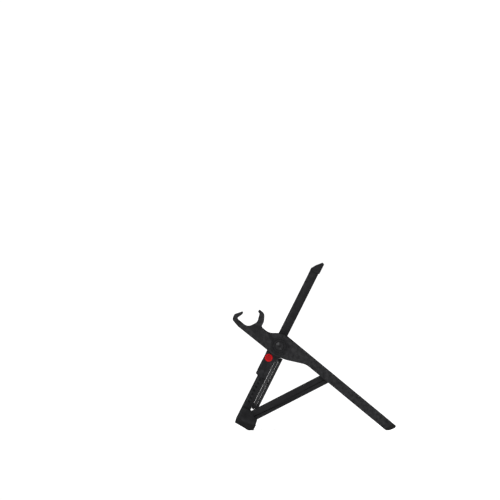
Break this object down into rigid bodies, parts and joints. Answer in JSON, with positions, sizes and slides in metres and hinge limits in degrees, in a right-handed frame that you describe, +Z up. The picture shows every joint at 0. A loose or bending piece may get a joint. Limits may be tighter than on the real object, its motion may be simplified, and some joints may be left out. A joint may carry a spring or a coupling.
{
  "type": "folding laptop riser",
  "caption": "Folding X-frame laptop riser: hooked arms pivot on carriages that slide up slanting legs, with braces, crossed bars and release buttons.",
  "frame": {"origin": "centre of the overall box in X and Y, at the table surface", "axes": "+X towards the back (rear feet), +Y towards the user's left frame, +Z up from the table"},
  "size_m": [0.2714, 0.2158, 0.2776],
  "materials": {
    "leg_plastic": "moulded glass-filled nylon, fine texture",
    "frame_plastic": "moulded glass-filled nylon, fine texture",
    "housing_plastic": "moulded, fine texture",
    "foot_rubber": "soft matte rubber",
    "red_plastic": "satin red",
    "dark_steel": "black oxide",
    "spring_steel": "spring temper",
    "nylon": "natural black nylon"
  },
  "bodies": {
    "leg_r": {"leg_column_r": "leg_plastic", "leg_boot_r": "housing_plastic", "boot_screws_r": "dark_steel", "front_foot_pad_r": "foot_rubber", "tip_cap_r": "housing_plastic", "bar_pin_lower_r": "dark_steel", "brace_pin_r": "dark_steel"},
    "bar_1": {"cross_bar_1": "frame_plastic", "centre_rivet": "dark_steel"},
    "bar_2": {"cross_bar_2": "frame_plastic"},
    "leg_l": {"leg_column_l": "leg_plastic", "leg_boot_l": "housing_plastic", "boot_screws_l": "dark_steel", "front_foot_pad_l": "foot_rubber", "tip_cap_l": "housing_plastic", "bar_pin_lower_l": "dark_steel", "brace_pin_l": "dark_steel"},
    "carriage_r": {"carriage_r": "housing_plastic", "rear_slider_r": "leg_plastic", "bar_pin_upper_r": "dark_steel", "latch_pin_r": "dark_steel", "hub_washer_r": "nylon", "hub_screw_r": "dark_steel"},
    "button_r": {"push_button_r": "red_plastic"},
    "latch_r": {"latch_lever_r": "spring_steel", "latch_spring_r": "spring_steel"},
    "arm_r": {"arm_r": "frame_plastic", "hub_disc_r": "frame_plastic", "hook_liner_r": "foot_rubber", "rear_foot_pad_r": "foot_rubber", "arm_rivet_r": "dark_steel"},
    "brace_r": {"brace_r": "frame_plastic"},
    "carriage_l": {"carriage_l": "housing_plastic", "rear_slider_l": "leg_plastic", "bar_pin_upper_l": "dark_steel", "latch_pin_l": "dark_steel", "hub_washer_l": "nylon", "hub_screw_l": "dark_steel"},
    "button_l": {"push_button_l": "red_plastic"},
    "latch_l": {"latch_lever_l": "spring_steel", "latch_spring_l": "spring_steel"},
    "arm_l": {"arm_l": "frame_plastic", "hub_disc_l": "frame_plastic", "hook_liner_l": "foot_rubber", "rear_foot_pad_l": "foot_rubber", "arm_rivet_l": "dark_steel"},
    "brace_l": {"brace_l": "frame_plastic"}
  },
  "joints": [
    {"name": "fold", "type": "hinge", "parent": "leg_r", "child": "bar_1", "pos_m": [-0.10952, -0.0907, 0.04403], "axis": [0.8942, 0, -0.4478], "range_deg": [-14.22, 60.81]},
    {"name": "bar_2_turn", "type": "hinge", "parent": "bar_1", "child": "bar_2", "pos_m": [-0.0899, 0, 0.08319], "axis": [0.8942, 0, -0.4478], "range_deg": [-121.64, 28.46]},
    {"name": "leg_l_turn", "type": "hinge", "parent": "bar_2", "child": "leg_l", "pos_m": [-0.10952, 0.0907, 0.04403], "axis": [0.8942, 0, -0.4478], "range_deg": [-14.24, 60.83]},
    {"name": "carriage_r_turn", "type": "hinge", "parent": "bar_2", "child": "carriage_r", "pos_m": [-0.07029, -0.0907, 0.12236], "axis": [0.8942, 0, -0.4478], "range_deg": [-14.24, 60.83]},
    {"name": "carriage_l_turn", "type": "hinge", "parent": "bar_1", "child": "carriage_l", "pos_m": [-0.07029, 0.0907, 0.12236], "axis": [0.8942, 0, -0.4478], "range_deg": [-60.83, 14.24]},
    {"name": "button_press_r", "type": "slide", "parent": "carriage_r", "child": "button_r", "axis": [0, 1, 0], "range_m": [0, 0.001], "stiffness_N_per_m": 600, "springref_m": -0.001},
    {"name": "latch_turn_r", "type": "hinge", "parent": "carriage_r", "child": "latch_r", "pos_m": [-0.07952, -0.0972, 0.10394], "axis": [-0.8942, 0, 0.4478], "range_deg": [0, 3.42]},
    {"name": "arm_turn_r", "type": "hinge", "parent": "carriage_r", "child": "arm_r", "pos_m": [-0.05767, -0.0907, 0.1403], "axis": [0, -1, 0], "range_deg": [-76.9, 18]},
    {"name": "brace_turn_r", "type": "hinge", "parent": "leg_r", "child": "brace_r", "pos_m": [-0.10555, -0.0907, 0.02158], "axis": [0, -1, 0], "range_deg": [-8.36, 35.66]},
    {"name": "button_press_l", "type": "slide", "parent": "carriage_l", "child": "button_l", "axis": [0, -1, 0], "range_m": [0, 0.001], "stiffness_N_per_m": 600, "springref_m": -0.001},
    {"name": "latch_turn_l", "type": "hinge", "parent": "carriage_l", "child": "latch_l", "pos_m": [-0.07952, 0.0972, 0.10394], "axis": [0.8942, 0, -0.4478], "range_deg": [0, 3.42]},
    {"name": "arm_turn_l", "type": "hinge", "parent": "carriage_l", "child": "arm_l", "pos_m": [-0.05767, 0.0907, 0.1403], "axis": [0, -1, 0], "range_deg": [-76.9, 18]},
    {"name": "brace_turn_l", "type": "hinge", "parent": "leg_l", "child": "brace_l", "pos_m": [-0.10555, 0.0907, 0.02158], "axis": [0, -1, 0], "range_deg": [-8.36, 35.66]}
  ],
  "couplings": [
    {"joint": "bar_2_turn", "follows": "fold", "ratio": -2},
    {"joint": "leg_l_turn", "follows": "fold", "ratio": 1},
    {"joint": "carriage_r_turn", "follows": "fold", "ratio": 1},
    {"joint": "carriage_l_turn", "follows": "fold", "ratio": -1},
    {"joint": "latch_turn_r", "follows": "button_press_r", "rad_per_m": 59.524},
    {"joint": "arm_turn_r", "follows": "fold", "ratio": -1.2642},
    {"joint": "brace_turn_r", "follows": "fold", "ratio": 0.58614},
    {"joint": "latch_turn_l", "follows": "button_press_l", "rad_per_m": 59.524},
    {"joint": "arm_turn_l", "follows": "fold", "ratio": -1.2642},
    {"joint": "brace_turn_l", "follows": "fold", "ratio": 0.58614}
  ]
}
